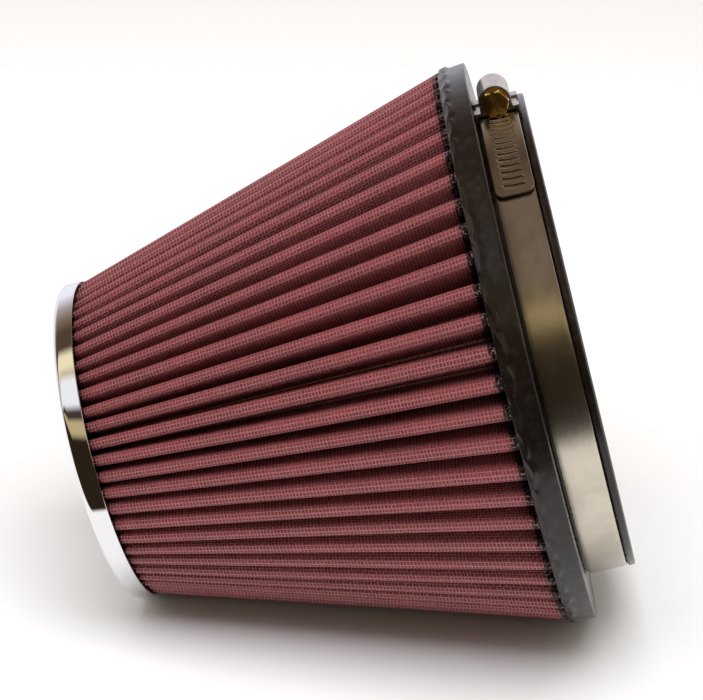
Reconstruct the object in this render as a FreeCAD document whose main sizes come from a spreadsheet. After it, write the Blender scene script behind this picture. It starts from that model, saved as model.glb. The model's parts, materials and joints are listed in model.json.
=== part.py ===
import FreeCAD, Part
import math
import os
import Sketcher

# A clamp-on cotton air filter, lying on its side: the chrome end cap points to -X, the rubber
# flange with its hose clamp points to +X, and the cap's rounded edge and the base's shoulder rest
# on Z = 0.
# Every piece is drawn upright about its own Z axis, with the cap's outer face at Z = 0, and one
# common placement then lays the whole filter down.

DRIVING_SIZES = [
    # alias, millimetres or degrees or count, what it is
    ("cap_rim_radius", 55.2, "outside of the chrome cap's side wall"),
    ("cap_height", 7.0, "chrome cap, outer face to open rim"),
    ("cap_sheet", 0.8, "cap sheet metal"),
    ("cap_corner", 2.2, "rounded edge of the cap's face"),
    ("panel_radius", 39.0, "sunk middle of the cap's face"),
    ("panel_step", 0.9, "depth of the sunk middle"),
    ("potting_top", 6.2, "urethane in the cap, top face"),
    ("base_start", 141.5, "where the pleats meet the rubber base"),
    ("base_thickness", 8.9, "rubber base ring"),
    ("base_shoulder_radius", 94.4, "base outside, pleat side"),
    ("base_rim_radius", 95.25, "base outside, flange side"),
    ("flange_bore_radius", 76.2, "inlet, 6 in across"),
    ("flange_radius", 79.8, "flange stub outside, under the clamp"),
    ("flange_length", 16.6, "base face to flange end"),
    ("lip_radius", 80.9, "bead that keeps the clamp on"),
    ("lip_width", 2.6, "length of the bead"),
    ("lip_round", 0.9, "rounding of the bead"),
    ("pleat_count", 60, "pleats around"),
    ("pleat_phase", 3.6, "place of the first crest around the axis"),
    ("pleat_depth", 16.0, "outer crest to inner crest"),
    ("crest_radius_small", 54.06, "outer crests at the cap"),
    ("crest_radius_large", 94.0, "outer crests at the base"),
    ("crest_fold_small", 1.75, "outer fold radius at the cap"),
    ("crest_fold_large", 2.4, "outer fold radius at the base"),
    ("valley_fold_small", 1.58, "inner fold radius at the cap"),
    ("valley_fold_large", 1.93, "inner fold radius at the base"),
    ("screen_thickness", 0.25, "wire screen"),
    ("gauze_thickness", 0.2, "one cotton ply"),
    ("ply_gap", 0.03, "air between two plies"),
    ("seam_thickness", 0.3, "seam clip sheet"),
    ("seam_flank", 3.5, "how far the seam clip reaches up its pleat"),
    ("band_inner_radius", 80.0, "clamp band inside"),
    ("band_thickness", 0.65, "clamp band sheet"),
    ("band_width", 12.7, "half-inch clamp band"),
    ("band_clearance", 1.0, "base face to band"),
    ("clamp_angle", 182.2, "place of the screw housing around the flange"),
    ("saddle_thickness", 0.6, "saddle sheet"),
    ("saddle_length", 15.0, "saddle along the band"),
    ("saddle_margin", 0.1, "saddle's clear way past the flange's bead, both ways"),
    ("tab_length", 4.2, "one crimp tab along the band"),
    ("tab_thickness", 0.5, "sheet of a crimp tab beside the housing's foot"),
    ("tab_reach", 1.5, "how far a crimp tab folds over the housing's foot"),
    ("crimp_clearance", 0.02, "play between a crimp tab and the housing's foot"),
    ("tail_inner_radius", 81.45, "slotted end of the band, inside"),
    ("tail_thickness", 0.75, "slotted end, with its rolled slots"),
    ("tail_end_angle", 33.8, "free end, from the housing's middle"),
    ("tail_start_angle", 18.0, "hidden end, behind the housing's middle"),
    ("tail_corner", 2.6, "rounded corners of the free end"),
    ("slot_pitch", 2.8, "slots along the band, and the screw's thread"),
    ("slot_width", 1.55, "slot along the band"),
    ("slot_length", 8.0, "slot across the band"),
    ("slots_ahead", 17, "slots from the housing's middle to the free end"),
    ("slots_behind", 8, "slots from the housing's middle to the hidden end"),
    ("housing_length", 14.0, "screw housing along the band"),
    ("housing_sheet", 0.6, "housing sheet"),
    ("dome_radius", 5.2, "round top of the housing"),
    ("foot_height", 83.1, "top of the housing's feet, from the flange axis"),
    ("foot_bottom", 81.4, "bottom of the housing's feet, from the flange axis"),
    ("foot_half_width", 6.8, "half width over the housing's feet"),
    ("band_channel_half", 6.45, "half width of the band's way through the housing"),
    ("band_channel_top", 82.5, "top of the band's way, from the flange axis"),
    ("screw_axis_radius", 86.4, "screw axis to flange axis"),
    ("thread_radius", 4.45, "screw thread crest"),
    ("thread_core_radius", 3.3, "screw core"),
    ("thread_crest_width", 0.5, "width of the thread at its crest"),
    ("thread_root_width", 1.3, "width of the thread at its core"),
    ("thread_turns", 3.5, "turns of thread"),
    ("neck_radius", 2.9, "screw neck in the housing's front wall"),
    ("tip_radius", 1.9, "screw tip in the housing's back wall"),
    ("bearing_clearance", 0.06, "radial play of neck and tip"),
    ("end_play", 0.1, "play of the screw along its axis, at each wall"),
    ("collar_radius", 4.4, "washer collar under the head"),
    ("collar_thickness", 1.0, "washer collar"),
    ("hex_across_flats", 7.94, "5/16 in hexagon head"),
    ("hex_height", 2.8, "hexagon head above its collar"),
    ("hex_land", 0.2, "from the flats in to the head's chamfer, at the top"),
    ("driver_slot_width", 1.3, "screwdriver slot"),
    ("driver_slot_depth", 1.6, "screwdriver slot"),
]

SAME_PLACE = 0.001   # two lengths or angles (mm, rad) nearer than this are the same
OVERCUT = 1.0        # how far a cutting outline runs past the piece (mm)

doc = FreeCAD.newDocument("AirFilter")
sheet = doc.addObject("Spreadsheet::Sheet", "Sizes")
for row, (alias, amount, note) in enumerate(DRIVING_SIZES, start=1):
    sheet.set("A%d" % row, note)
    sheet.set("B%d" % row, str(amount))
    sheet.setAlias("B%d" % row, alias)
doc.recompute()


def size(alias):
    """The number that the sheet holds under this alias."""
    return float(sheet.get(alias))


# ---- helpers -------------------------------------------------------------------------------


def new_body(label):
    body = doc.addObject("PartDesign::Body", label)
    body.Label = label
    return body


def origin_feature(body, role):
    return next(feature for feature in body.Origin.OriginFeatures if feature.Role == role)


def new_sketch(body, name, plane):
    sketch = body.newObject("Sketcher::SketchObject", name)
    sketch.AttachmentSupport = (origin_feature(body, plane), [""])
    sketch.MapMode = "FlatFace"
    return sketch


def hold_point(sketch, edge, end, across, up):
    """Holds one end of an edge at two expressions; "0" puts it on the sketch's own axis."""
    for kind, axis, expression in (("DistanceX", -2, across), ("DistanceY", -1, up)):
        if expression == "0":
            sketch.addConstraint(Sketcher.Constraint("PointOnObject", edge, end, axis))
            continue
        now = float(sketch.evalExpression(expression))
        index = sketch.addConstraint(Sketcher.Constraint(kind, -1, 1, edge, end, now))
        sketch.setExpression("Constraints[%d]" % index, expression)


def draw_outline(sketch, corners):
    """A closed outline of straight edges. Each corner is a pair of expressions of the sheet."""
    points = []
    for across, up in corners:
        x = float(sketch.evalExpression(across))
        y = float(sketch.evalExpression(up))
        points.append(FreeCAD.Vector(x, y, 0))
    count = len(points)
    for i in range(count):
        sketch.addGeometry(Part.LineSegment(points[i], points[(i + 1) % count]), False)
    for i in range(count):
        sketch.addConstraint(Sketcher.Constraint("Coincident", i, 2, (i + 1) % count, 1))
    for i, (across, up) in enumerate(corners):
        hold_point(sketch, i, 1, across, up)


def draw_circle(sketch, across, up, radius):
    x = float(sketch.evalExpression(across))
    y = float(sketch.evalExpression(up))
    now = float(sketch.evalExpression(radius))
    circle = Part.Circle(FreeCAD.Vector(x, y, 0), FreeCAD.Vector(0, 0, 1), now)
    edge = sketch.addGeometry(circle, False)
    hold_point(sketch, edge, 3, across, up)
    index = sketch.addConstraint(Sketcher.Constraint("Radius", edge, now))
    sketch.setExpression("Constraints[%d]" % index, radius)


def revolve(body, name, corners):
    """Turns an outline of (radius, height) corners once around the body's Z axis."""
    sketch = new_sketch(body, name + "Profile", "XZ_Plane")
    draw_outline(sketch, corners)
    turned = body.newObject("PartDesign::Revolution", name)
    turned.Profile = sketch
    turned.ReferenceAxis = (sketch, ["V_Axis"])
    turned.Angle = 360
    sketch.Visibility = False
    doc.recompute()
    return turned


def pad(body, name, sketch, length):
    grown = body.newObject("PartDesign::Pad", name)
    grown.Profile = sketch
    grown.setExpression("Length", length)
    grown.Midplane = True
    doc.recompute()
    return grown


def pocket(body, name, sketch, length, midplane=True, reverse=False):
    """Cuts an outline out of the body, and stops the script if nothing was cut."""
    before = body.Tip.Shape.Volume
    cut = body.newObject("PartDesign::Pocket", name)
    cut.Profile = sketch
    cut.setExpression("Length", length)
    cut.Midplane = midplane
    cut.Reversed = reverse
    doc.recompute()
    if cut.Shape.Volume >= before:
        raise RuntimeError(name + " cuts nothing")
    return cut


def circle_edges(shape, places):
    """Names of the edges that are circles about Z at these (radius, height) places."""
    names = []
    for radius, height in places:
        for number, edge in enumerate(shape.Edges, start=1):
            curve = edge.Curve
            if not isinstance(curve, Part.Circle):
                continue
            same_radius = abs(curve.Radius - radius) < SAME_PLACE
            same_height = abs(curve.Center.z - height) < SAME_PLACE
            if same_radius and same_height:
                names.append("Edge%d" % number)
    return names


def round_edges(body, name, radius, edge_names):
    """Rounds the named edges of the body's last feature to a radius from the sheet."""
    base = body.Tip
    fillet = body.newObject("PartDesign::Fillet", name)
    fillet.Base = (base, edge_names)
    fillet.setExpression("Radius", radius)
    doc.recompute()
    return fillet


# ---- chrome end cap and its potting ---------------------------------------------------------


def make_end_cap():
    """Pressed steel cap, chrome plated: a face with a sunk middle, and a short side wall."""
    body = new_body("chrome_end_cap")
    revolve(body, "CapShell", [
        ("0", "Sizes.panel_step"),
        ("Sizes.panel_radius", "Sizes.panel_step"),
        ("Sizes.panel_radius + 2 * Sizes.panel_step", "0"),
        ("Sizes.cap_rim_radius", "0"),
        ("Sizes.cap_rim_radius", "Sizes.cap_height"),
        ("Sizes.cap_rim_radius - Sizes.cap_sheet", "Sizes.cap_height"),
        ("Sizes.cap_rim_radius - Sizes.cap_sheet", "Sizes.cap_sheet"),
        ("Sizes.panel_radius + 2 * Sizes.panel_step", "Sizes.cap_sheet"),
        ("Sizes.panel_radius", "Sizes.panel_step + Sizes.cap_sheet"),
        ("0", "Sizes.panel_step + Sizes.cap_sheet"),
    ])
    outer = circle_edges(body.Tip.Shape, [(size("cap_rim_radius"), 0)])
    round_edges(body, "OuterCorner", "Sizes.cap_corner", outer)
    inside_wall = size("cap_rim_radius") - size("cap_sheet")
    inner = circle_edges(body.Tip.Shape, [(inside_wall, size("cap_sheet"))])
    round_edges(body, "InnerCorner", "Sizes.cap_corner - Sizes.cap_sheet", inner)
    return body


def make_cap_potting():
    """Urethane cast in the cap; the pleats' ends stand in it."""
    body = new_body("cap_potting")
    revolve(body, "PottingDisc", [
        ("0", "Sizes.panel_step + Sizes.cap_sheet"),
        ("Sizes.panel_radius", "Sizes.panel_step + Sizes.cap_sheet"),
        ("Sizes.panel_radius + 2 * Sizes.panel_step", "Sizes.cap_sheet"),
        ("Sizes.cap_rim_radius - Sizes.cap_sheet", "Sizes.cap_sheet"),
        ("Sizes.cap_rim_radius - Sizes.cap_sheet", "Sizes.potting_top"),
        ("0", "Sizes.potting_top"),
    ])
    inside_wall = size("cap_rim_radius") - size("cap_sheet")
    corner = circle_edges(body.Tip.Shape, [(inside_wall, size("cap_sheet"))])
    round_edges(body, "PottingCorner", "Sizes.cap_corner - Sizes.cap_sheet", corner)
    return body


# ---- rubber base ----------------------------------------------------------------------------


def make_base():
    """Moulded urethane: a base ring, the flange stub that the clamp closes, and its lip."""
    body = new_body("urethane_base")
    base_face = "Sizes.base_start + Sizes.base_thickness"
    flange_end = base_face + " + Sizes.flange_length"
    revolve(body, "BaseRing", [
        ("Sizes.flange_bore_radius", "Sizes.base_start"),
        ("Sizes.base_shoulder_radius", "Sizes.base_start"),
        ("Sizes.base_rim_radius", base_face),
        ("Sizes.flange_radius", base_face),
        ("Sizes.flange_radius", flange_end + " - Sizes.lip_width"),
        ("Sizes.lip_radius", flange_end + " - Sizes.lip_width"),
        ("Sizes.lip_radius", flange_end),
        ("Sizes.flange_bore_radius", flange_end),
    ])
    end = size("base_start") + size("base_thickness") + size("flange_length")
    lip = [(size("lip_radius"), end), (size("lip_radius"), end - size("lip_width"))]
    round_edges(body, "LipBead", "Sizes.lip_round", circle_edges(body.Tip.Shape, lip))
    return body


# ---- pleated pack ---------------------------------------------------------------------------


def pack_thickness():
    return 2 * size("screen_thickness") + 4 * size("gauze_thickness") + 5 * size("ply_gap")


def polar(radius, angle):
    return FreeCAD.Vector(radius * math.cos(angle), radius * math.sin(angle), 0)


def fold_geometry(end):
    """Fold radii and fold centres of the pack's middle surface, at the "small" or "large" end."""
    half_pack = pack_thickness() / 2
    crest = size("crest_fold_" + end)
    valley = size("valley_fold_" + end)
    outer_radius = size("crest_radius_" + end)
    inner_radius = outer_radius - size("pleat_depth")
    return {
        "crest_centre": outer_radius - crest,
        "valley_centre": inner_radius + valley,
        "crest_radius": crest - half_pack,
        "valley_radius": valley - half_pack,
    }


def flank_tangents(end, offset, side):
    """Where the flank leaves the crest fold and meets the valley fold, on one side of a crest.

    The crest's middle is on +X. The sheet goes over the crest fold's far side and under the
    valley fold, so the flank is the two circles' inner tangent. offset moves the surface
    outwards from the pack's middle, which keeps every flank parallel.
    """
    fold = fold_geometry(end)
    half_pitch = math.pi / size("pleat_count")
    crest_centre = polar(fold["crest_centre"], 0)
    valley_centre = polar(fold["valley_centre"], side * half_pitch)
    crest_radius = fold["crest_radius"] + offset
    valley_radius = fold["valley_radius"] - offset
    between = valley_centre - crest_centre
    towards = math.atan2(between.y, between.x)
    swing = math.acos((crest_radius + valley_radius) / between.Length)
    normal_angle = towards - side * swing
    normal = FreeCAD.Vector(math.cos(normal_angle), math.sin(normal_angle), 0)
    return crest_centre + normal * crest_radius, valley_centre - normal * valley_radius


def pleated_wire(end, height, offset):
    """One closed wire through all folds: crest arc, flank, valley arc, flank, and so on."""
    fold = fold_geometry(end)
    count = int(size("pleat_count"))
    pitch = 2 * math.pi / count
    crest_top = polar(fold["crest_centre"] + fold["crest_radius"] + offset, 0)
    valley_bottom = polar(fold["valley_centre"] - fold["valley_radius"] + offset, pitch / 2)
    right_crest, _ = flank_tangents(end, offset, -1)
    left_crest, left_valley = flank_tangents(end, offset, 1)
    _, next_valley = flank_tangents(end, offset, -1)
    turn = FreeCAD.Rotation(FreeCAD.Vector(0, 0, 1), math.degrees(pitch))
    next_valley = turn.multVec(next_valley)
    next_crest = turn.multVec(right_crest)
    one_pleat = [
        Part.Arc(right_crest, crest_top, left_crest).toShape(),
        Part.LineSegment(left_crest, left_valley).toShape(),
        Part.Arc(left_valley, valley_bottom, next_valley).toShape(),
        Part.LineSegment(next_valley, next_crest).toShape(),
    ]
    edges = []
    for pleat in range(count):
        for edge in one_pleat:
            copy = edge.copy()
            place = math.degrees(pitch * pleat) + size("pleat_phase")
            copy.rotate(FreeCAD.Vector(), FreeCAD.Vector(0, 0, 1), place)
            copy.translate(FreeCAD.Vector(0, 0, height))
            edges.append(copy)
    return Part.Wire(edges)


def sheet_solid(small_wires, large_wires):
    """A closed solid between two wires at each end: ruled walls and two flat ends."""
    faces = []
    for small, large in zip(small_wires, large_wires):
        faces.extend(Part.makeLoft([small, large], False, True).Faces)
    for wires in (small_wires, large_wires):
        faces.append(Part.makeFace(wires, "Part::FaceMakerBullseye"))
    shell = Part.makeShell(faces)
    shell.sewShape()
    solid = Part.makeSolid(shell)
    solid.fix(SAME_PLACE, SAME_PLACE, SAME_PLACE)
    return solid


def add_shape(label, shape):
    feature = doc.addObject("Part::Feature", label)
    feature.Label = label
    feature.Shape = shape
    return feature


def make_pleated_ply(label, outer_offset, thickness):
    """One ply of the pack, from the potting to the base, as deep and as folded as the others."""
    ends = (("small", size("potting_top")), ("large", size("base_start")))
    wires = []
    for end, height in ends:
        outer = pleated_wire(end, height, outer_offset)
        inner = pleated_wire(end, height, outer_offset - thickness)
        wires.append([outer, inner])
    return add_shape(label, sheet_solid(wires[0], wires[1]))


def make_pleat_pack():
    """Wire screen, four cotton plies, wire screen: from the outside in."""
    plies = [("outer_wire_screen", size("screen_thickness"))]
    for number in range(1, 5):
        plies.append(("cotton_ply_%d" % number, size("gauze_thickness")))
    plies.append(("inner_wire_screen", size("screen_thickness")))
    offset = pack_thickness() / 2
    pieces = []
    for label, thickness in plies:
        pieces.append(make_pleated_ply(label, offset, thickness))
        offset -= thickness + size("ply_gap")
    return pieces


def seam_wire(end, height):
    """Outline of the seam clip's section: a U around one inner fold, clear of the screen."""
    fold = fold_geometry(end)
    half_pitch = math.pi / size("pleat_count")
    sides = []
    for distance in (size("ply_gap"), size("ply_gap") + size("seam_thickness")):
        offset = -pack_thickness() / 2 - distance
        crest, valley = flank_tangents(end, offset, 1)
        up_flank = crest - valley
        up_flank.normalize()
        flank_end = valley + up_flank * size("seam_flank")
        bottom = polar(fold["valley_centre"] - fold["valley_radius"] + offset, half_pitch)
        mirror = []
        for point in (flank_end, valley):
            radius = point.Length
            angle = 2 * half_pitch - math.atan2(point.y, point.x)
            mirror.append(polar(radius, angle))
        sides.append((flank_end, valley, bottom, mirror[1], mirror[0]))
    near, far = sides
    edges = [
        Part.LineSegment(near[0], near[1]).toShape(),
        Part.Arc(near[1], near[2], near[3]).toShape(),
        Part.LineSegment(near[3], near[4]).toShape(),
        Part.LineSegment(near[4], far[4]).toShape(),
        Part.LineSegment(far[4], far[3]).toShape(),
        Part.Arc(far[3], far[2], far[1]).toShape(),
        Part.LineSegment(far[1], far[0]).toShape(),
        Part.LineSegment(far[0], near[0]).toShape(),
    ]
    wire = Part.Wire(edges)
    wire.rotate(FreeCAD.Vector(), FreeCAD.Vector(0, 0, 1), size("pleat_phase"))
    wire.translate(FreeCAD.Vector(0, 0, height))
    return wire


def make_seam_clip():
    """Folded steel strip that closes the pack's two ends, along one inner fold."""
    small = seam_wire("small", size("potting_top"))
    large = seam_wire("large", size("base_start"))
    return add_shape("seam_clip", Part.makeLoft([small, large], True, True))


# ---- hose clamp -----------------------------------------------------------------------------
# The clamp's pieces are drawn with the screw housing on +X: X is away from the flange's axis,
# Y runs along the band towards the screw's head, and Z = 0 is the band's middle.


def make_clamp_band():
    """The band's closed loop around the flange."""
    body = new_body("clamp_band")
    outer = "Sizes.band_inner_radius + Sizes.band_thickness"
    revolve(body, "BandLoop", [
        ("Sizes.band_inner_radius", "-Sizes.band_width / 2"),
        (outer, "-Sizes.band_width / 2"),
        (outer, "Sizes.band_width / 2"),
        ("Sizes.band_inner_radius", "Sizes.band_width / 2"),
    ])
    return body


def slot_angle():
    """Degrees around the flange from one slot to the next, at the band's middle thickness."""
    middle = size("tail_inner_radius") + size("tail_thickness") / 2
    return math.degrees(size("slot_pitch") / middle)


def draw_slot(sketch):
    """A slot's outline around the sketch's origin, leaning as much as the screw's thread."""
    lean = "atan(Sizes.slot_pitch / (2 * pi * Sizes.thread_radius))"
    across = "(%d * Sizes.slot_width * cos({0}) + %d * Sizes.slot_length * sin({0})) / 2".format(lean)
    up = "(%d * Sizes.slot_length * cos({0}) - %d * Sizes.slot_width * sin({0})) / 2".format(lean)
    corners = []
    for wide, long in ((-1, -1), (1, -1), (1, 1), (-1, 1)):
        corners.append((across % (wide, long), up % (long, wide)))
    draw_outline(sketch, corners)


def make_clamp_tail():
    """The band's slotted end, which the screw drives through the housing."""
    body = new_body("clamp_band_tail")
    outer = "Sizes.tail_inner_radius + Sizes.tail_thickness"
    sketch = new_sketch(body, "StripProfile", "XZ_Plane")
    draw_outline(sketch, [
        ("Sizes.tail_inner_radius", "-Sizes.band_width / 2"),
        (outer, "-Sizes.band_width / 2"),
        (outer, "Sizes.band_width / 2"),
        ("Sizes.tail_inner_radius", "Sizes.band_width / 2"),
    ])
    strip = body.newObject("PartDesign::Revolution", "Strip")
    strip.Profile = sketch
    strip.ReferenceAxis = (sketch, ["V_Axis"])
    strip.Type = "TwoAngles"
    strip.setExpression("Angle", "Sizes.tail_end_angle")
    strip.setExpression("Angle2", "Sizes.tail_start_angle")
    doc.recompute()
    free_end = math.radians(size("tail_end_angle"))
    corners = []
    for number, edge in enumerate(strip.Shape.Edges, start=1):
        middle = edge.CenterOfMass
        at_end = abs(math.atan2(middle.y, middle.x) - free_end) < SAME_PLACE
        if at_end and abs(edge.Length - size("tail_thickness")) < SAME_PLACE:
            corners.append("Edge%d" % number)
    round_edges(body, "FreeEnd", "Sizes.tail_corner", corners)
    slot_sketch = new_sketch(body, "SlotOutline", "YZ_Plane")
    draw_slot(slot_sketch)
    slot = pocket(body, "Slot", slot_sketch, "Sizes.screw_axis_radius", False, True)
    for name, count, reverse in (("Ahead", "slots_ahead", False), ("Behind", "slots_behind", True)):
        before = body.Tip.Shape.Volume
        pattern = body.newObject("PartDesign::PolarPattern", "Slots" + name)
        pattern.Originals = [slot]
        pattern.Axis = (origin_feature(body, "Z_Axis"), [""])
        pattern.Reversed = reverse
        pattern.Angle = slot_angle() * (size(count) - 1)
        pattern.Occurrences = int(size(count))
        body.Tip = pattern
        doc.recompute()
        if pattern.Shape.Volume >= before:
            raise RuntimeError("pattern of slots cuts nothing")
    return body


def make_housing():
    """Pressed steel housing: a domed tunnel for the screw over the band's way through."""
    body = new_body("clamp_housing")
    sketch = new_sketch(body, "HousingBlock", "XZ_Plane")
    wall = "Sizes.dome_radius"
    draw_outline(sketch, [
        ("Sizes.foot_bottom", "-Sizes.foot_half_width"),
        ("Sizes.foot_height", "-Sizes.foot_half_width"),
        ("Sizes.foot_height", "-" + wall),
        ("Sizes.screw_axis_radius", "-" + wall),
        ("Sizes.screw_axis_radius", wall),
        ("Sizes.foot_height", wall),
        ("Sizes.foot_height", "Sizes.foot_half_width"),
        ("Sizes.foot_bottom", "Sizes.foot_half_width"),
    ])
    pad(body, "Block", sketch, "Sizes.housing_length")
    dome = new_sketch(body, "DomeCircle", "XZ_Plane")
    draw_circle(dome, "Sizes.screw_axis_radius", "0", wall)
    pad(body, "Dome", dome, "Sizes.housing_length")
    chamber = new_sketch(body, "ChamberCircle", "XZ_Plane")
    draw_circle(chamber, "Sizes.screw_axis_radius", "0", wall + " - Sizes.housing_sheet")
    inner_length = "Sizes.housing_length - 2 * Sizes.housing_sheet"
    pocket(body, "Chamber", chamber, inner_length)
    well = new_sketch(body, "ChamberWell", "XZ_Plane")
    inside = "(" + wall + " - Sizes.housing_sheet)"
    below = "Sizes.foot_bottom - %s" % OVERCUT
    draw_outline(well, [
        (below, "-" + inside),
        ("Sizes.screw_axis_radius", "-" + inside),
        ("Sizes.screw_axis_radius", inside),
        (below, inside),
    ])
    pocket(body, "Well", well, inner_length)
    channel = new_sketch(body, "BandWay", "XZ_Plane")
    draw_outline(channel, [
        (below, "-Sizes.band_channel_half"),
        ("Sizes.band_channel_top", "-Sizes.band_channel_half"),
        ("Sizes.band_channel_top", "Sizes.band_channel_half"),
        (below, "Sizes.band_channel_half"),
    ])
    pocket(body, "BandChannel", channel, "Sizes.housing_length + %s" % (2 * OVERCUT))
    bearings = (("FrontBearing", "neck_radius", True), ("BackBearing", "tip_radius", False))
    for name, radius, towards_head in bearings:
        hole = new_sketch(body, name + "Circle", "XZ_Plane")
        hole_radius = "Sizes.%s + Sizes.bearing_clearance" % radius
        draw_circle(hole, "Sizes.screw_axis_radius", "0", hole_radius)
        pocket(body, name, hole, "Sizes.housing_length", False, not towards_head)
    return body


def make_saddle():
    """Curved plate between the loop and the slotted end, with tabs crimped over the feet."""
    band_outside = "Sizes.band_inner_radius + Sizes.band_thickness"
    half_width = "(Sizes.foot_half_width + Sizes.tab_thickness)"
    inner = doc.addObject("Part::Cylinder", "SaddleInside")
    inner.setExpression("Radius", band_outside)
    outer = doc.addObject("Part::Cylinder", "SaddleOutside")
    outer.setExpression("Radius", band_outside + " + Sizes.saddle_thickness")
    for cylinder in (inner, outer):
        cylinder.setExpression("Height", "2 * " + half_width)
        cylinder.setExpression("Placement.Base.z", "-" + half_width)
    ring = doc.addObject("Part::Cut", "SaddleRing")
    ring.Base = outer
    ring.Tool = inner
    window = doc.addObject("Part::Box", "SaddleWindow")
    window.setExpression("Length", "Sizes.foot_height")
    window.setExpression("Width", "Sizes.saddle_length")
    window.setExpression("Height", "3 * Sizes.foot_half_width")
    window.setExpression("Placement.Base.y", "-Sizes.saddle_length / 2")
    window.setExpression("Placement.Base.z", "-1.5 * Sizes.foot_half_width")
    full_plate = doc.addObject("Part::Common", "SaddleFullPlate")
    full_plate.Base = ring
    full_plate.Tool = window
    over_bead = "Sizes.lip_radius + Sizes.saddle_margin"
    bead_way = doc.addObject("Part::Cylinder", "SaddleBeadWay")
    bead_way.setExpression("Radius", over_bead)
    bead_way.setExpression("Height", half_width)
    bead_way.setExpression("Placement.Base.z", "Sizes.band_width / 2 + Sizes.saddle_margin")
    plate = doc.addObject("Part::Cut", "SaddlePlate")
    plate.Base = full_plate
    plate.Tool = bead_way
    tabs = []
    for side in (-1, 1):
        for along in (-1, 1):
            name = "Tab%s%s" % ("Left" if side < 0 else "Right", "Back" if along < 0 else "Front")
            tabs.extend(make_crimp_tab(name, side, along, over_bead))
    saddle = doc.addObject("Part::MultiFuse", "clamp_saddle")
    saddle.Label = "clamp_saddle"
    saddle.Shapes = [plate] + tabs
    doc.recompute()
    return saddle


def make_crimp_tab(name, side, along, bottom):
    """One tab: a wall beside the housing's foot and a lip folded over the foot."""
    wall = doc.addObject("Part::Box", name + "Wall")
    lip = doc.addObject("Part::Box", name + "Lip")
    foot_side = "Sizes.foot_half_width + Sizes.crimp_clearance"
    foot_top = "Sizes.foot_height + Sizes.crimp_clearance"
    for box in (wall, lip):
        box.setExpression("Width", "Sizes.tab_length")
        middle = "%d * (Sizes.saddle_length - Sizes.tab_length) / 2" % along
        box.setExpression("Placement.Base.y", middle + " - Sizes.tab_length / 2")
    wall.setExpression("Placement.Base.x", bottom)
    wall.setExpression("Length", "%s + Sizes.saddle_thickness - (%s)" % (foot_top, bottom))
    wall.setExpression("Height", "Sizes.tab_thickness - Sizes.crimp_clearance")
    lip.setExpression("Placement.Base.x", foot_top)
    lip.setExpression("Length", "Sizes.saddle_thickness")
    lip.setExpression("Height", "Sizes.tab_reach + Sizes.tab_thickness")
    if side > 0:
        wall.setExpression("Placement.Base.z", foot_side)
        lip.setExpression("Placement.Base.z", "Sizes.foot_half_width - Sizes.tab_reach")
    else:
        wall.setExpression("Placement.Base.z", "-Sizes.foot_half_width - Sizes.tab_thickness")
        lip.setExpression("Placement.Base.z", "-Sizes.foot_half_width - Sizes.tab_thickness")
    return [wall, lip]


def make_screw():
    """Worm screw, drawn along Z with its thread's middle at 0 and its head at +Z."""
    body = new_body("clamp_screw")
    front = "Sizes.housing_length / 2"
    inner_end = front + " - Sizes.housing_sheet - Sizes.end_play"
    collar_bottom = front + " + Sizes.end_play"
    collar_top = collar_bottom + " + Sizes.collar_thickness"
    revolve(body, "Shank", [
        ("0", "-" + front),
        ("Sizes.tip_radius", "-" + front),
        ("Sizes.tip_radius", "-(%s)" % inner_end),
        ("Sizes.thread_core_radius", "-(%s)" % inner_end),
        ("Sizes.thread_core_radius", inner_end),
        ("Sizes.neck_radius", inner_end),
        ("Sizes.neck_radius", collar_bottom),
        ("Sizes.collar_radius", collar_bottom),
        ("Sizes.collar_radius", collar_top),
        ("0", collar_top),
    ])
    add_hex_head(body, collar_top)
    add_thread(body)
    return body


def add_hex_head(body, collar_top):
    """Hexagon head on its collar, with the top chamfered round and a screwdriver slot."""
    head = new_sketch(body, "HexOutline", "XY_Plane")
    head.setExpression("AttachmentOffset.Base.z", collar_top)
    corner = "Sizes.hex_across_flats / 2 / cos(30)"
    flat = "Sizes.hex_across_flats / 2"
    draw_outline(head, [
        (corner, "0"),
        (corner + " / 2", flat),
        ("-" + corner + " / 2", flat),
        ("-" + corner, "0"),
        ("-" + corner + " / 2", "-" + flat),
        (corner + " / 2", "-" + flat),
    ])
    hexagon = body.newObject("PartDesign::Pad", "HexHead")
    hexagon.Profile = head
    hexagon.setExpression("Length", "Sizes.hex_height")
    doc.recompute()
    top = collar_top + " + Sizes.hex_height"
    chamfer = new_sketch(body, "ChamferProfile", "XZ_Plane")
    draw_outline(chamfer, [
        ("Sizes.hex_across_flats / 2 - Sizes.hex_land", top),
        ("Sizes.hex_across_flats", top),
        ("Sizes.hex_across_flats", top + " - Sizes.hex_across_flats / 2 * tan(25)"),
    ])
    groove = body.newObject("PartDesign::Groove", "HeadChamfer")
    groove.Profile = chamfer
    groove.ReferenceAxis = (chamfer, ["V_Axis"])
    groove.Angle = 360
    doc.recompute()
    slot = new_sketch(body, "DriverSlotOutline", "XZ_Plane")
    half = "Sizes.driver_slot_width / 2"
    draw_outline(slot, [
        ("-" + half, top + " - Sizes.driver_slot_depth"),
        (half, top + " - Sizes.driver_slot_depth"),
        (half, "%s + %s" % (top, OVERCUT)),
        ("-" + half, "%s + %s" % (top, OVERCUT)),
    ])
    pocket(body, "DriverSlot", slot, "3 * Sizes.hex_across_flats")


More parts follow.
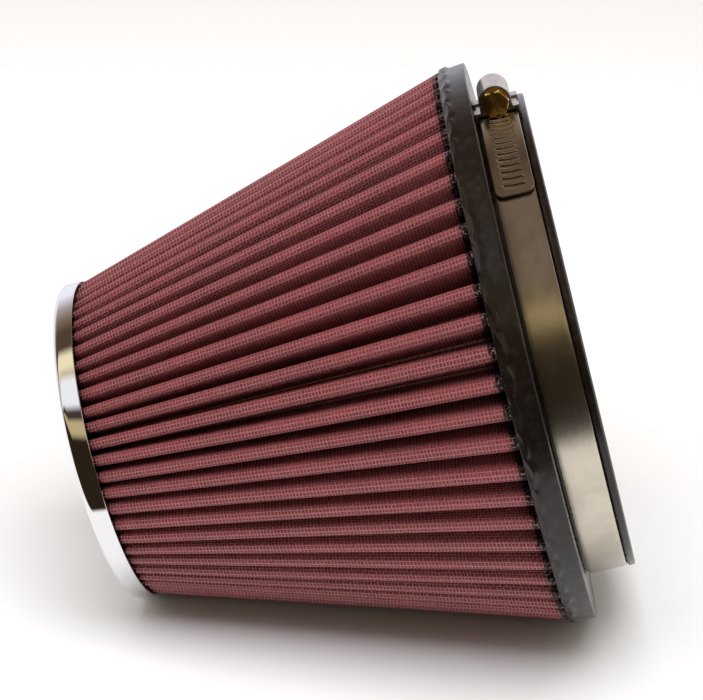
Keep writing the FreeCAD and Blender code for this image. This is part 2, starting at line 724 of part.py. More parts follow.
def add_thread(body):
    """Right-hand thread whose crests stand in the band's slots on the side towards the flange."""
    turns = size("thread_turns")
    start = "-Sizes.slot_pitch * 2"
    root = "Sizes.thread_core_radius - Sizes.end_play"
    profile = new_sketch(body, "ThreadProfile", "XZ_Plane")
    draw_outline(profile, [
        (root, start + " - Sizes.thread_root_width / 2"),
        ("Sizes.thread_radius", start + " - Sizes.thread_crest_width / 2"),
        ("Sizes.thread_radius", start + " + Sizes.thread_crest_width / 2"),
        (root, start + " + Sizes.thread_root_width / 2"),
    ])
    before = body.Tip.Shape.Volume
    thread = body.newObject("PartDesign::AdditiveHelix", "Thread")
    thread.Profile = profile
    thread.ReferenceAxis = (profile, ["V_Axis"])
    thread.Mode = "pitch-turns-angle"
    thread.setExpression("Pitch", "Sizes.slot_pitch")
    thread.Turns = turns
    thread.LeftHanded = False
    thread.Reversed = False
    doc.recompute()
    if thread.Shape.Volume <= before:
        raise RuntimeError("the thread adds nothing")


# ---- where the pieces go --------------------------------------------------------------------


def lying_placement():
    """Lays the upright filter on its side, resting on the cap's edge and the base's shoulder.

    The cap rests on the round of its edge and the base on a sharp corner, so the floor is the
    tangent from that corner to the round. The X origin is midway between the cap's end and the
    flange lip's end.
    """
    corner = size("cap_corner")
    rise = size("base_shoulder_radius") - (size("cap_rim_radius") - corner)
    run = size("base_start") - corner
    tilt = math.atan2(rise, run) - math.asin(corner / math.hypot(rise, run))
    shoulder_drop = size("base_shoulder_radius") * math.cos(tilt)
    axis_height = shoulder_drop - size("base_start") * math.sin(tilt)
    cap_reach = (size("cap_rim_radius") - corner) * math.sin(tilt)
    low_x = corner * math.cos(tilt) - cap_reach - corner
    bead = size("lip_round")
    end = size("base_start") + size("base_thickness") + size("flange_length")
    lip_reach = (size("lip_radius") - bead) * math.sin(tilt)
    high_x = (end - bead) * math.cos(tilt) + lip_reach + bead
    move = FreeCAD.Vector(-(low_x + high_x) / 2, 0, axis_height)
    turn = FreeCAD.Rotation(FreeCAD.Vector(0, 1, 0), 90 - math.degrees(tilt))
    return FreeCAD.Placement(move, turn)


def clamp_placement():
    """Clamp pieces: up to the band's height and around to the housing's place."""
    base_face = size("base_start") + size("base_thickness")
    height = base_face + size("band_clearance") + size("band_width") / 2
    spin = FreeCAD.Rotation(FreeCAD.Vector(0, 0, 1), size("clamp_angle"))
    return FreeCAD.Placement(FreeCAD.Vector(0, 0, height), spin)


def screw_placement():
    """The screw lies along the band, with its X axis pointing at the flange's axis."""
    to_flange = FreeCAD.Vector(-1, 0, 0)
    along_filter = FreeCAD.Vector(0, 0, 1)
    along_band = FreeCAD.Vector(0, 1, 0)
    turn = FreeCAD.Rotation(to_flange, along_filter, along_band, "ZXY")
    return FreeCAD.Placement(FreeCAD.Vector(size("screw_axis_radius"), 0, 0), turn)


def check_objects():
    """Stops the script if any object of the document failed to compute."""
    for item in doc.Objects:
        states = [state for state in item.State if state in ("Invalid", "Error")]
        if states:
            raise RuntimeError("%s is %s" % (item.Label, ", ".join(states)))


def export(pieces):
    os.makedirs("parts", exist_ok=True)
    for piece in pieces:
        shape = piece.Shape
        if shape.isNull() or not shape.isValid() or not shape.Solids:
            raise RuntimeError(piece.Label + " has no valid solid")
        shape.exportStep("parts/%s.step" % piece.Label)
        print("%-20s %9.1f mm3  %d solid" % (piece.Label, shape.Volume, len(shape.Solids)))


upright = [make_end_cap(), make_cap_potting(), make_base()]
upright += make_pleat_pack()
upright.append(make_seam_clip())
around_flange = [make_clamp_band(), make_clamp_tail(), make_housing(), make_saddle()]
screw = make_screw()
doc.recompute()

lying = lying_placement()
for piece in upright:
    piece.Placement = lying
for piece in around_flange:
    piece.Placement = lying.multiply(clamp_placement())
screw.Placement = lying.multiply(clamp_placement()).multiply(screw_placement())
doc.recompute()

check_objects()
export(upright + around_flange + [screw])
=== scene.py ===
import json
import math
import bmesh
import bpy
import numpy as np
from mathutils import Matrix, Vector


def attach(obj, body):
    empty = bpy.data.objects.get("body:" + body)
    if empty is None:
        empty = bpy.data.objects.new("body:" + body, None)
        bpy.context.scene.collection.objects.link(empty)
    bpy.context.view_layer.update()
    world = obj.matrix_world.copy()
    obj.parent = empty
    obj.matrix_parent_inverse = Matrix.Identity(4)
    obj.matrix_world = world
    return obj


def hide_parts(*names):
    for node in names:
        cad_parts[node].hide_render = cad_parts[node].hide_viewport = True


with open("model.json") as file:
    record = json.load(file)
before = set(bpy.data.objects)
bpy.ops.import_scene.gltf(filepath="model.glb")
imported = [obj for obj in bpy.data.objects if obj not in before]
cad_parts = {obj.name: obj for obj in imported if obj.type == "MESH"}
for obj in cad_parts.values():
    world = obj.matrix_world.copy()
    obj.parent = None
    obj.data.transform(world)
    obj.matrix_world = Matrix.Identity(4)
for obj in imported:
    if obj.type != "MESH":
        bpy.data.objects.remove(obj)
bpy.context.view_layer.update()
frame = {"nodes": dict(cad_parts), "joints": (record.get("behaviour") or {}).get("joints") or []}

scene = bpy.context.scene
rng = np.random.RandomState(11)   # every unevenness comes from this one seed, in a fixed order
mm = 0.001

# The filter's own axis comes from the joint that the clamp turns on. Pieces are worked out upright
# about that axis, in millimetres: radius, angle (0 faces the floor) and height above the cap's face.
swivel = next(joint for joint in frame["joints"] if joint["name"] == "clamp_swivel")
screwTurn = next(joint for joint in frame["joints"] if joint["name"] == "screw_turn")
axisDir = np.array(swivel["axis"], float)
sideDir = np.array([0.0, 1.0, 0.0])
downDir = np.cross(sideDir, axisDir)
clampHeight = 157.75     # the clamp's middle, above the cap's face
capFace = np.array(swivel["pos_m"], float) - axisDir * clampHeight * mm


# points in metres from radius, angle and height arrays
def layDown(radius, angle, height):
    radius, angle, height = np.broadcast_arrays(radius, angle, height)
    across = (radius * np.cos(angle))[..., None] * downDir + (radius * np.sin(angle))[..., None] * sideDir
    return capFace + (across + height[..., None] * axisDir) * mm


# sRGB hex to the linear colour that sockets take
def linear(hexColour):
    parts = [int(hexColour[i:i + 2], 16) / 255 for i in (1, 3, 5)]
    return tuple([p / 12.92 if p <= 0.04045 else ((p + 0.055) / 1.055) ** 2.4 for p in parts] + [1.0])


# adds a node: values go to its properties or sockets, links join sockets of other nodes to it
def addNode(tree, kind, values=None, links=None):
    node = tree.nodes.new(kind)
    for key, value in (values or {}).items():
        if isinstance(key, str) and hasattr(node, key):
            setattr(node, key, value)
        else:
            node.inputs[key].default_value = value
    for key, source in (links or {}).items():
        tree.links.new(source, node.inputs[key])
    return node


# one step of arithmetic between sockets and numbers
def calc(tree, operation, *terms):
    node = addNode(tree, "ShaderNodeMath", {"operation": operation})
    for i, term in enumerate(terms):
        if isinstance(term, (int, float)):
            node.inputs[i].default_value = term
        else:
            tree.links.new(term, node.inputs[i])
    return node.outputs[0]


# 0 to 1, smoothly, while a socket goes from low to high
def fade(tree, socket, low, high):
    node = addNode(tree, "ShaderNodeMapRange", {"interpolation_type": "SMOOTHSTEP", "From Min": low,
                                                "From Max": high}, {"Value": socket})
    return node.outputs["Result"]


def mixColours(tree, factor, first, second):
    node = addNode(tree, "ShaderNodeMix", {"data_type": "RGBA"})
    for index, source in ((0, factor), (6, first), (7, second)):
        if isinstance(source, (int, float)):
            node.inputs[index].default_value = source
        elif isinstance(source, str):
            node.inputs[index].default_value = linear(source)
        else:
            tree.links.new(source, node.inputs[index])
    return node.outputs[2]


# noise in object space, with its grain size in millimetres
def grain(tree, size, detail=2.0, stretch=(1, 1, 1)):
    coords = addNode(tree, "ShaderNodeTexCoord").outputs["Object"]
    scale = tuple(1 / (size * mm * s) for s in stretch)
    scaled = addNode(tree, "ShaderNodeMapping", {"Scale": scale}, {"Vector": coords})
    noise = addNode(tree, "ShaderNodeTexNoise", {"Scale": 1.0, "Detail": detail},
                    {"Vector": scaled.outputs[0]})
    return noise.outputs["Fac"]


def bump(tree, shader, height, distance, strength=1.0):
    node = addNode(tree, "ShaderNodeBump", {"Distance": distance * mm, "Strength": strength},
                   {"Height": height})
    tree.links.new(node.outputs["Normal"], shader.inputs["Normal"])


def newMaterial(name, colour, roughness, metallic=0.0, more=None):
    material = bpy.data.materials.new(name)
    material.use_nodes = True
    tree = material.node_tree
    tree.nodes.clear()
    values = {"Base Color": linear(colour), "Roughness": roughness, "Metallic": metallic}
    values.update(more or {})
    shader = addNode(tree, "ShaderNodeBsdfPrincipled", values)
    addNode(tree, "ShaderNodeOutputMaterial", None, {"Surface": shader.outputs["BSDF"]})
    return material, tree, shader


# one surface from a grid of points (rows, columns, 3); either way round may close on itself
def gridObject(name, points, wrapRows, wrapColumns, material, uv=None):
    rows, columns = points.shape[:2]
    r = np.arange(rows if wrapRows else rows - 1)
    c = np.arange(columns if wrapColumns else columns - 1)
    r, c = [a.ravel() for a in np.meshgrid(r, c, indexing="ij")]
    nextR, nextC = (r + 1) % rows, (c + 1) % columns
    quads = np.stack([r * columns + c, r * columns + nextC, nextR * columns + nextC, nextR * columns + c], 1)
    mesh = bpy.data.meshes.new(name)
    mesh.vertices.add(rows * columns)
    mesh.vertices.foreach_set("co", points.reshape(-1).astype(np.float32))
    mesh.loops.add(quads.size)
    mesh.loops.foreach_set("vertex_index", quads.reshape(-1).astype(np.int32))
    mesh.polygons.add(len(quads))
    mesh.polygons.foreach_set("loop_start", np.arange(0, quads.size, 4, dtype=np.int32))
    mesh.polygons.foreach_set("use_smooth", np.ones(len(quads), bool))
    if uv is not None:
        corners = np.stack([uv[r, c], uv[r, c + 1], uv[r + 1, c + 1], uv[r + 1, c]], 1)
        mesh.uv_layers.new(name="UVMap").data.foreach_set("uv", corners.reshape(-1).astype(np.float32))
    mesh.update(calc_edges=True)
    mesh.validate()
    mesh.materials.append(material)
    obj = bpy.data.objects.new(name, mesh)
    scene.collection.objects.link(obj)
    return obj


# replaces each corner (radius, height, rounding) of a closed outline by an arc of that rounding
def roundCorners(outline, steps=6):
    outline = np.array(outline, float)
    result = []
    for i, (x, y, rounding) in enumerate(outline):
        here, before, after = np.array([x, y]), outline[i - 1, :2], outline[(i + 1) % len(outline), :2]
        if rounding <= 0:
            result.append(here)
            continue
        toBefore = (before - here) / np.linalg.norm(before - here)
        toAfter = (after - here) / np.linalg.norm(after - here)
        half = math.acos(np.clip(toBefore @ toAfter, -1, 1)) / 2
        middle = (toBefore + toAfter) / np.linalg.norm(toBefore + toAfter)
        centre = here + middle * rounding / math.sin(half)
        first = here + toBefore * rounding / math.tan(half) - centre
        last = here + toAfter * rounding / math.tan(half) - centre
        start = math.atan2(first[1], first[0])
        sweep = (math.atan2(last[1], last[0]) - start + math.pi) % (2 * math.pi) - math.pi
        for k in range(steps + 1):
            a = start + sweep * k / steps
            result.append(centre + rounding * np.array([math.cos(a), math.sin(a)]))
    return np.array(result)


# cuts the straight runs of a closed outline into pieces no longer than spacing
def fillOutline(profile, spacing):
    result = []
    for a, b in zip(profile, np.roll(profile, -1, axis=0)):
        pieces = max(1, math.ceil(np.linalg.norm(b - a) / spacing))
        result.extend(a + (b - a) * k / pieces for k in range(pieces))
    return np.array(result)


# a closed outline of (radius, height) carried once around the axis; UV is in millimetres
def turnedObject(name, profile, material, turns=360):
    angle = np.linspace(0, 2 * np.pi, turns, endpoint=False)
    points = layDown(profile[:, :1], angle[None, :], profile[:, 1:])
    closed = np.vstack([profile, profile[:1]])
    along = np.concatenate([[0], np.cumsum(np.hypot(*np.diff(closed, axis=0).T))])
    around = np.linspace(0, 2 * np.pi, turns + 1) * profile[:, 0].max()
    uv = np.stack(np.broadcast_arrays(around[None, :], along[:, None]), -1)
    return gridObject(name, points, True, True, material, uv)


# a smooth closed random wave: one random knot per cell, joined by smooth steps
def smoothWave(places, cells, amount):
    knots = rng.uniform(-1, 1, cells)
    at = np.asarray(places) % 1.0 * cells
    i = np.floor(at).astype(int)
    f = at - i
    f = f * f * (3 - 2 * f)
    return amount * (knots[i % cells] * (1 - f) + knots[(i + 1) % cells] * f)


# a merged copy of a CAD node's mesh with its sharp edges eased
def easedCopy(nodeName, name, width, material, turnHead=0):
    mesh = frame["nodes"][nodeName].data.copy()
    mesh.name = name
    work = bmesh.new()
    work.from_mesh(mesh)
    bmesh.ops.remove_doubles(work, verts=work.verts, dist=0.004 * mm)
    if turnHead:
        place, along = Vector(screwTurn["pos_m"]), Vector(screwTurn["axis"])
        head = [v for v in work.verts if (v.co - place).dot(along) > screwHead["start"] * mm]
        turn = Matrix.Rotation(math.radians(turnHead), 3, along)
        bmesh.ops.rotate(work, cent=place, matrix=turn, verts=head)
    bmesh.ops.dissolve_limit(work, angle_limit=math.radians(1.0), verts=work.verts, edges=work.edges)
    for face in work.faces:
        face.smooth = True
    for edge in work.edges:
        edge.smooth = edge.calc_face_angle(0) < math.radians(35)
    work.to_mesh(mesh)
    work.free()
    mesh.materials.clear()
    mesh.materials.append(material)
    obj = bpy.data.objects.new(name, mesh)
    scene.collection.objects.link(obj)
    ease = obj.modifiers.new("EasedEdges", "BEVEL")
    ease.width = width * mm
    ease.segments = 2
    ease.limit_method = "ANGLE"
    ease.angle_limit = math.radians(35)
    ease.harden_normals = False
    return obj


view = {"place": (0.0005, -0.7464, 0.3755), "lookAt": (0.0005, 0.0, 0.0881), "rollDegrees": 1.2,
        "lens": 121.5}


def makeCamera():
    data = bpy.data.cameras.new("Camera")
    data.sensor_width = 36
    data.lens = view["lens"]
    camera = bpy.data.objects.new("Camera", data)
    scene.collection.objects.link(camera)
    place = Vector(view["place"])
    turn = (place - Vector(view["lookAt"])).to_track_quat("Z", "Y").to_matrix().to_4x4()
    roll = Matrix.Rotation(math.radians(view["rollDegrees"]), 4, "Z")
    camera.matrix_world = Matrix.Translation(place) @ turn @ roll
    scene.camera = camera


# The room that metal mirrors, as bands parallel to X: degrees up from the horizon on the camera's
# side, over the top and down to the far horizon; then colour and strength.
roomDark = "#2d2319"
studio = {
    "floorColour": "#f4f4f5", "floorHalf": 4.0, "floorFrontEdge": -0.196, "floorEdgeSlant": 0.48,
    "bands": [
        (-90, roomDark, 1.0), (21, roomDark, 1.0), (26, "#d4c091", 0.9), (34, "#d4c091", 0.9),
        (38, "#4a3c38", 1.0), (42, "#4a3c38", 1.0), (48, "#f6f6fa", 1.12), (66, "#f6f6fa", 1.12),
        (73, "#dccba6", 1.0), (79, "#fdf0c8", 1.05), (88, "#fdf0c8", 1.05), (96, "#574738", 1.0),
        (112, "#574738", 1.0),
        (125, "#86725f", 1.0), (140, "#b4aaa6", 1.0), (158, "#f6f4ff", 1.1), (180, "#f6f4ff", 1.1),
        (200, roomDark, 1.0),
    ],
    "backdrop": "#ffffff", "sweepStart": 0.12, "sweepEnd": 0.5, "sweepGlow": 0.2,
    "sweepColour": "#f4f8ff",
    "softboxes": [("TopSoftbox", 21.5, 1.15, (0.0, -0.5, 1.4)), ("FrontSoftbox", 0.9, 1.0, (0.1, -1.3, 0.5))],
    "softboxColour": "#f7faff",
    "flagColour": "#7c6c5e", "flagLow": (-0.19, -0.6, 0.55), "flagHigh": (0.3, 0.1, 0.55),
}


def makeFloor():
    # white paper, glowing a little behind the object; mirrors see it end in front of the object
    material, tree, shader = newMaterial("WhitePaper", studio["floorColour"], 0.7)
    place = addNode(tree, "ShaderNodeTexCoord").outputs["Object"]
    split = addNode(tree, "ShaderNodeSeparateXYZ", None, {0: place})
    sweep = fade(tree, split.outputs["Y"], studio["sweepStart"], studio["sweepEnd"])
    shader.inputs["Emission Color"].default_value = linear(studio["sweepColour"])
    tree.links.new(calc(tree, "MULTIPLY", sweep, studio["sweepGlow"]), shader.inputs["Emission Strength"])
    slanted = calc(tree, "MULTIPLY_ADD", split.outputs["X"], studio["floorEdgeSlant"], split.outputs["Y"])
    front = fade(tree, slanted, studio["floorFrontEdge"] + 0.01, studio["floorFrontEdge"] - 0.01)
    mirrored = addNode(tree, "ShaderNodeLightPath").outputs["Is Glossy Ray"]
    dark = addNode(tree, "ShaderNodeEmission", {"Color": linear(roomDark)})
    mix = addNode(tree, "ShaderNodeMixShader", None, {0: calc(tree, "MULTIPLY", front, mirrored),
                                                      1: shader.outputs[0], 2: dark.outputs[0]})
    output = next(node for node in tree.nodes if node.type == "OUTPUT_MATERIAL")
    tree.links.new(mix.outputs[0], output.inputs["Surface"])
    half = studio["floorHalf"]
    corners = np.array([[[-half, -half, 0], [half, -half, 0]], [[-half, half, 0], [half, half, 0]]])
    gridObject("Floor", corners, False, False, material)


# a grey flag above the flange that only mirrors see, so the clamp's band stays darker than the cap
def makeFlag():
    material, tree, shader = newMaterial("GreyFlag", "#000000", 1.0)
    shader.inputs["Emission Color"].default_value = linear(studio["flagColour"])
    shader.inputs["Emission Strength"].default_value = 1.0
    (x0, y0, z0), (x1, y1, z1) = studio["flagLow"], studio["flagHigh"]
    corners = np.array([[[x0, y0, z0], [x1, y0, z1]], [[x0, y1, z0], [x1, y1, z1]]])
    flag = gridObject("Flag", corners, False, False, material)
    flag.visible_camera = False
    flag.visible_diffuse = False
    flag.visible_shadow = False


def makeRoom():
    world = bpy.data.worlds.new("SoftStudio")
    world.use_nodes = True
    tree = world.node_tree
    tree.nodes.clear()
    direction = addNode(tree, "ShaderNodeTexCoord").outputs["Generated"]
    parts = addNode(tree, "ShaderNodeSeparateXYZ", None, {0: direction})
    toCamera = calc(tree, "MULTIPLY", parts.outputs["Y"], -1.0)
    turned = calc(tree, "ARCTAN2", parts.outputs["Z"], toCamera)
    degrees = calc(tree, "MULTIPLY", turned, 180 / math.pi)
    unwrapped = calc(tree, "WRAP", degrees, 270.0, -90.0)
    factor = calc(tree, "DIVIDE", calc(tree, "ADD", unwrapped, 90.0), 360.0)
    ramp = addNode(tree, "ShaderNodeValToRGB", None, {"Fac": factor})
    points = ramp.color_ramp.elements
    while len(points) < len(studio["bands"]):
        points.new(1.0)
    brightest = max(strength for _, _, strength in studio["bands"])
    for point, (angle, colour, strength) in zip(points, studio["bands"]):
        point.position = (angle + 90) / 360
        point.color = [c * strength / brightest for c in linear(colour)[:3]] + [1.0]
    room = addNode(tree, "ShaderNodeBackground", {"Strength": brightest}, {"Color": ramp.outputs["Color"]})
    backdrop = addNode(tree, "ShaderNodeBackground", {"Color": linear(studio["backdrop"])})
    seen = addNode(tree, "ShaderNodeLightPath").outputs["Is Camera Ray"]
    mix = addNode(tree, "ShaderNodeMixShader", None, {0: seen, 1: room.outputs[0], 2: backdrop.outputs[0]})
    addNode(tree, "ShaderNodeOutputWorld", None, {"Surface": mix.outputs[0]})
    scene.world = world


def makeSoftboxes():
    for name, power, size, place in studio["softboxes"]:
        data = bpy.data.lights.new(name, "AREA")
        data.size = size
        data.energy = power
        data.color = linear(studio["softboxColour"])[:3]
        light = bpy.data.objects.new(name, data)
        light.location = place
        light.rotation_euler = Vector(place).to_track_quat("Z", "Y").to_euler()
        light.visible_glossy = False
        scene.collection.objects.link(light)


scene.view_settings.view_transform = "Standard"
makeCamera()
makeFloor()
makeFlag()
makeRoom()
makeSoftboxes()
print("camera, floor and light are set")


# polished chrome plate: a mirror with the faint waviness of a pressing
def makeChrome():
    material, tree, shader = newMaterial("PolishedChromePlate", "#e6e6e8", 0.045, 1.0)
    bump(tree, shader, grain(tree, 9.0, 1.0), 0.02)
    fine = calc(tree, "MULTIPLY_ADD", grain(tree, 0.6, 3.0), 0.05, 0.02)
    tree.links.new(fine, shader.inputs["Roughness"])
    return material


cap = {"radius": 55.2, "height": 7.0, "sheet": 0.8, "corner": 2.2, "panelRadius": 39.0, "panelStep": 0.9,
       "rimRounding": 0.3, "turns": 360}


# a turned surface's middle: it stops at a tiny radius, and a ring close by keeps the face's shading flat
centre = 0.01
nearCentre = 0.2


# Outline of the pressed cap: its face with a sunk middle, the rounded edge, the side wall and back
# along the inside.
def makeCap():
    radius, sheet, corner = cap["radius"], cap["sheet"], cap["corner"]
    step, panel = cap["panelStep"], cap["panelRadius"]
    outline = roundCorners([
        (centre, step, 0), (nearCentre, step, 0), (panel, step, 1.2), (panel + 2 * step, 0, 1.2),
        (radius, 0, corner),
        (radius, cap["height"], cap["rimRounding"]), (radius - sheet, cap["height"], cap["rimRounding"]),
        (radius - sheet, sheet, corner - sheet), (panel + 2 * step, sheet, 0.8), (panel, step + sheet, 0.8),
        (nearCentre, step + sheet, 0), (centre, step + sheet, 0)], 8)
    obj = turnedObject("ChromeCap", fillOutline(outline, 3.0), makeChrome(), cap["turns"])
    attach(obj, "filter")
    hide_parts("chrome_end_cap")


# cast urethane: near black, slightly glossy, with a fine skin and tiny pits
def makeUrethane(name, colour, roughness):
    material, tree, shader = newMaterial(name, colour, roughness, 0.0, {"IOR": 1.47})
    skin = calc(tree, "MULTIPLY_ADD", grain(tree, 0.8, 4.0), 0.3, grain(tree, 5.0, 2.0))
    bump(tree, shader, skin, 0.06)
    dust = calc(tree, "MULTIPLY", fade(tree, grain(tree, 3.2, 5.0), 0.45, 0.8), 0.16)
    tree.links.new(mixColours(tree, dust, colour, "#4a4038"), shader.inputs["Base Color"])
    tree.links.new(calc(tree, "MULTIPLY_ADD", grain(tree, 3.0, 3.0), 0.2, roughness - 0.1),
                   shader.inputs["Roughness"])
    return material


potting = {"top": 6.2, "creep": 0.5, "creepWidth": 0.8, "clearance": 0.01, "turns": 360}


# the cap's filling: level in the middle and drawn up a little against the cap's wall
def makePotting():
    inside = cap["radius"] - cap["sheet"] - potting["clearance"]
    bottom = cap["sheet"] + potting["clearance"]
    panel, step = cap["panelRadius"], cap["panelStep"]
    outline = [(centre, step + bottom, 0), (nearCentre, step + bottom, 0), (panel, step + bottom, 0),
               (panel + 2 * step, bottom, 0), (inside, bottom, cap["corner"] - cap["sheet"])]
    for away in (0, 0.3, 0.7, 1.3, 2.2, 4):
        creep = potting["creep"] * math.exp(-away / potting["creepWidth"])
        outline.append((inside - away, potting["top"] + creep, 0))
    outline += [(nearCentre, potting["top"], 0), (centre, potting["top"], 0)]
    obj = turnedObject("CapPotting", fillOutline(roundCorners(outline), 4.0),
                       makeUrethane("CastUrethane", "#16110f", 0.45), potting["turns"])
    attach(obj, "filter")
    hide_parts("cap_potting")


makeCap()
makePotting()
print("cap is done")

pleat = {
    "count": 60, "phase": 3.6, "depth": 16.0, "start": 6.2, "end": 141.5,
    "small": {"crest": 54.06, "crestFold": 1.75, "valleyFold": 1.58},
    "large": {"crest": 94.0, "crestFold": 2.4, "valleyFold": 1.93},
    "screen": 0.25, "gauze": 0.2, "gap": 0.03, "plies": 4,
    "leanSmall": 0.75, "leanLarge": 0.32, "uneven": 0.22, "rows": 22,
}
packThickness = 2 * pleat["screen"] + pleat["plies"] * pleat["gauze"] + (pleat["plies"] + 1) * pleat["gap"]


# One pleat's section at one end, as (radius, angle) with its crest at angle 0: half the crest arc,
# the flank, the valley arc, the next flank and the other half of the crest arc. A flank is the inner
# tangent of the two fold circles; offset moves the sheet outwards from the pack's middle.
def foldSection(end, offset, arcSteps, flankSteps):
    sizes = pleat[end]
    half = math.pi / pleat["count"]
    crestAt = sizes["crest"] - sizes["crestFold"]
    valleyAt = sizes["crest"] - pleat["depth"] + sizes["valleyFold"]
    crestFold = sizes["crestFold"] - packThickness / 2 + offset
    valleyFold = sizes["valleyFold"] - packThickness / 2 - offset
    crest = np.array([crestAt, 0.0])
    valley = valleyAt * np.array([math.cos(half), math.sin(half)])
    between = valley - crest
    towards = math.atan2(between[1], between[0])
    leave = towards - math.acos((crestFold + valleyFold) / np.linalg.norm(between))
    over = np.linspace(0, leave, arcSteps)
    crestArc = crest + crestFold * np.stack([np.cos(over), np.sin(over)], 1)
    under = np.linspace(leave + math.pi, half + math.pi, arcSteps)
    valleyArc = valley + valleyFold * np.stack([np.cos(under), np.sin(under)], 1)
    way = np.linspace(0, 1, flankSteps + 2)[1:-1, None]
    flank = crestArc[-1] + (valleyArc[0] - crestArc[-1]) * way
    first = np.vstack([crestArc, flank, valleyArc])
    radius = np.hypot(first[:, 0], first[:, 1])
    angle = np.arctan2(first[:, 1], first[:, 0])
    radius = np.concatenate([radius, radius[-2:0:-1]])
    angle = np.concatenate([angle, 2 * half - angle[-2:0:-1]])
    return radius, angle


# how each crest strays along the axis, shared by all plies: knots at the cap, halfway and the base
strayKnots = rng.uniform(-1, 1, (3, pleat["count"]))
unevenKnots = rng.uniform(-1, 1, (3, pleat["count"]))


def knotsAt(knots, way, turn):
    rows = np.stack([(1 - way) ** 2, 2 * way * (1 - way), way ** 2], 1) @ knots
    at = turn / (2 * np.pi) * pleat["count"]
    i = np.floor(at).astype(int)
    f = at - i
    count = pleat["count"]
    return rows[:, i % count] * (1 - f) + rows[:, (i + 1) % count] * f


# A pleated sheet with thickness: the section goes once around, and each row is the mix of the small
# and the large section at that height. UV is in millimetres: around the folds, and along the slant.
def pleatedSheet(name, outerOffset, thickness, material, arcSteps, flankSteps, rows):
    way = np.linspace(0, 1, rows)
    surfaces = []
    for offset in (outerOffset, outerOffset - thickness):
        ends = [foldSection(end, offset, arcSteps, flankSteps) for end in ("small", "large")]
        onePleat = len(ends[0][0])
        starts = np.arange(pleat["count"]) * 2 * np.pi / pleat["count"]
        turn = [(end[1][None, :] + starts[:, None]).ravel() for end in ends]
        radius = [np.tile(end[0], pleat["count"]) for end in ends]
        w = way[:, None]
        angles = turn[0] * (1 - w) + turn[1] * w
        radii = radius[0] * (1 - w) + radius[1] * w
        lean = np.radians(pleat["leanSmall"] * (1 - w) + pleat["leanLarge"] * w)
        stray = knotsAt(strayKnots, way, turn[0]) * lean
        nearCrest = np.clip((radii - radii.min(1, keepdims=True)) / pleat["depth"], 0, 1)
        uneven = knotsAt(unevenKnots, way, turn[0]) * pleat["uneven"] * nearCrest
        heights = (pleat["start"] + (pleat["end"] - pleat["start"]) * w) * np.ones_like(radii)
        phase = math.radians(pleat["phase"])
        surfaces.append(layDown(radii + uneven, angles + stray + phase, heights))
        if offset == outerOffset:
            section = np.stack([ends[0][0] * np.cos(ends[0][1]), ends[0][0] * np.sin(ends[0][1])], 1)
            section = np.vstack([section, [ends[0][0][0] * math.cos(2 * math.pi / pleat["count"]),
                                           ends[0][0][0] * math.sin(2 * math.pi / pleat["count"])]])
            steps = np.hypot(*np.diff(section, axis=0).T)
    slant = math.hypot(pleat["end"] - pleat["start"], pleat["large"]["crest"] - pleat["small"]["crest"])
    wires = round(steps.sum() / weave["pitch"]) * weave["pitch"]
    steps = steps * wires / steps.sum()
    around = np.concatenate([[0], np.cumsum(np.tile(steps, pleat["count"]))])
    along = np.concatenate([way, way[::-1], way[:1]]) * slant
    uv = np.stack(np.broadcast_arrays(around[None, :], along[:, None]), -1)
    points = np.concatenate([surfaces[0], surfaces[1][::-1]])
    return gridObject(name, points, True, True, material, uv)


weave = {"pitch": 1.15, "wire": 0.145, "wireColour": "#c0878a", "cotton": "#a83c43", "cottonDarkAndShade": "#4c1216",
         "soakBase": 2.3, "soakCap": 1.3, "soakColour": "#120d0c"}
slantLength = math.hypot(pleat["end"] - pleat["start"], pleat["large"]["crest"] - pleat["small"]["crest"])


